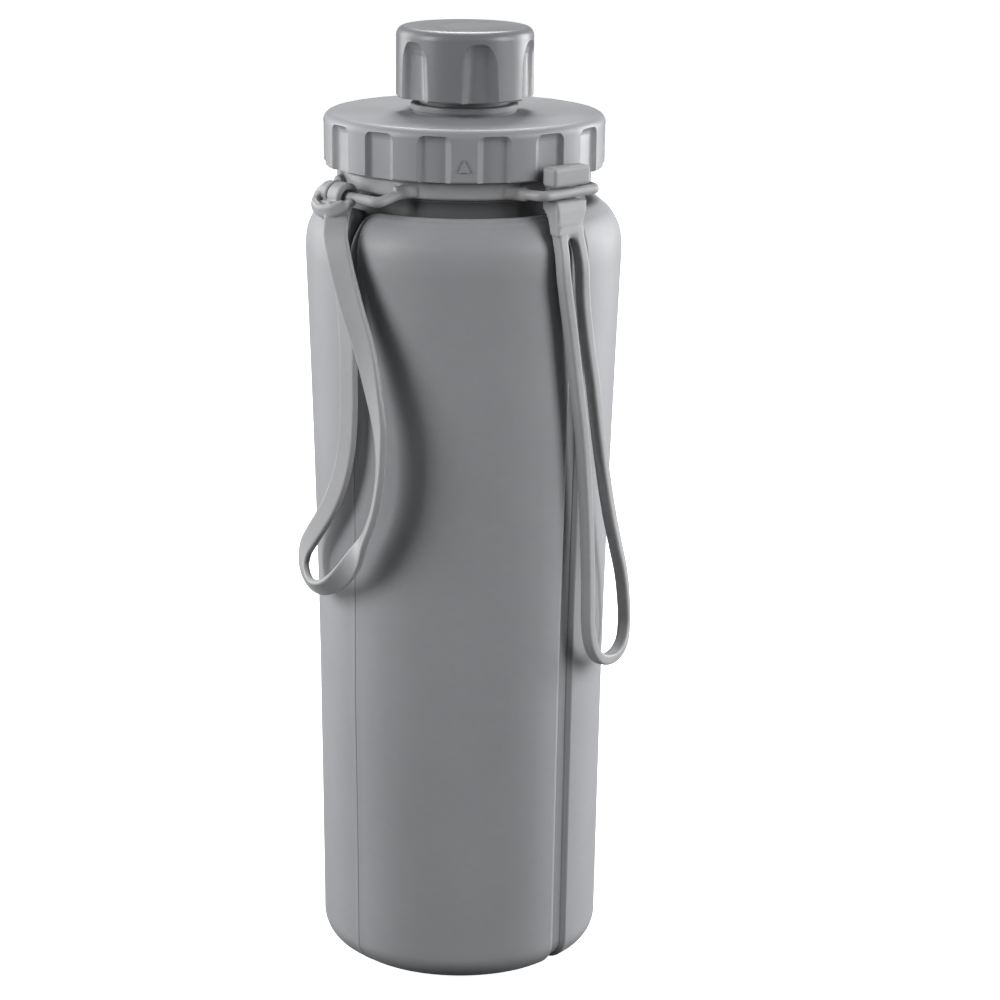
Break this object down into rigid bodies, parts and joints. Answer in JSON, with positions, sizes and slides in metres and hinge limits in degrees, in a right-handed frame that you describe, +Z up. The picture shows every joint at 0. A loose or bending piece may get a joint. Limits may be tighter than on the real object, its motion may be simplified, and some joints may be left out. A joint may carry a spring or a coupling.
{
  "type": "folding silicone water bottle",
  "caption": "Soft silicone travel bottle that presses flat and folds in half, with screw lid, drinking spout and cap, toggle strap and hanging loop.",
  "frame": {"origin": "centre of the base on the surface the bottle stands on", "axes": "+Z up along the bottle's axis; -Y is the front, the side with the lid's index mark; +X is the side of the toggle strap"},
  "size_m": [0.0815, 0.0801, 0.236],
  "materials": {
    "body_silicone": "matte",
    "strap_silicone": "matte",
    "lid_plastic": "satin",
    "spout_plastic": "satin",
    "neck_plastic": "satin",
    "seal_silicone": "matte"
  },
  "bodies": {
    "bottle": {"body_upper": "body_silicone", "neck_insert": "neck_plastic", "neck_retaining_ring": "neck_plastic", "strap_ring": "strap_silicone", "toggle_strap_head": "strap_silicone", "hanging_loop_hitch": "strap_silicone"},
    "front_panel": {"body_front_panel": "body_silicone"},
    "lower_half": {"body_lower": "body_silicone"},
    "lid_seal": {"lid_gasket": "seal_silicone"},
    "lid": {"lid_shell": "lid_plastic", "spout": "spout_plastic", "spout_gasket": "seal_silicone"},
    "cap_seal": {"spout_cap_gasket": "seal_silicone"},
    "cap": {"spout_cap": "lid_plastic"},
    "toggle_loop": {"toggle_strap_loop": "strap_silicone"},
    "hanging_band": {"hanging_loop_band": "strap_silicone"}
  },
  "joints": [
    {"name": "body_fold", "type": "hinge", "parent": "bottle", "child": "lower_half", "pos_m": [0, 0.0376, 0.098], "axis": [1, 0, 0], "range_deg": [0, 180], "stiffness_Nm_per_rad": 0.15},
    {"name": "press_flat", "type": "slide", "parent": "bottle", "child": "front_panel", "axis": [0, 1, 0], "range_m": [0, 0.042]},
    {"name": "lid_lift", "type": "slide", "parent": "bottle", "child": "lid_seal", "axis": [0, 0, 1], "range_m": [0, 0.012]},
    {"name": "lid_turn", "type": "hinge", "parent": "lid_seal", "child": "lid", "pos_m": [0, 0, 0.2154], "axis": [0, 0, 1], "range_deg": [0, 720]},
    {"name": "cap_lift", "type": "slide", "parent": "lid", "child": "cap_seal", "axis": [0, 0, 1], "range_m": [0, 0.015]},
    {"name": "cap_turn", "type": "hinge", "parent": "cap_seal", "child": "cap", "pos_m": [0, 0, 0.236], "axis": [0, 0, 1], "range_deg": [0, 1080]},
    {"name": "toggle_swing", "type": "hinge", "parent": "bottle", "child": "toggle_loop", "pos_m": [0.02689, -0.03148, 0.187], "axis": [-0.7604, -0.6494, 0], "range_deg": [0, 50]},
    {"name": "loop_swing", "type": "hinge", "parent": "bottle", "child": "hanging_band", "pos_m": [-0.03122, -0.0269, 0.1939], "axis": [-0.6691, 0.7431, 0], "range_deg": [0, 50]}
  ],
  "couplings": [
    {"joint": "press_flat", "follows": "body_fold", "m_per_rad": 0.013369},
    {"joint": "lid_lift", "follows": "lid_turn", "m_per_rad": 0.00095493},
    {"joint": "cap_lift", "follows": "cap_turn", "m_per_rad": 0.00079577}
  ]
}
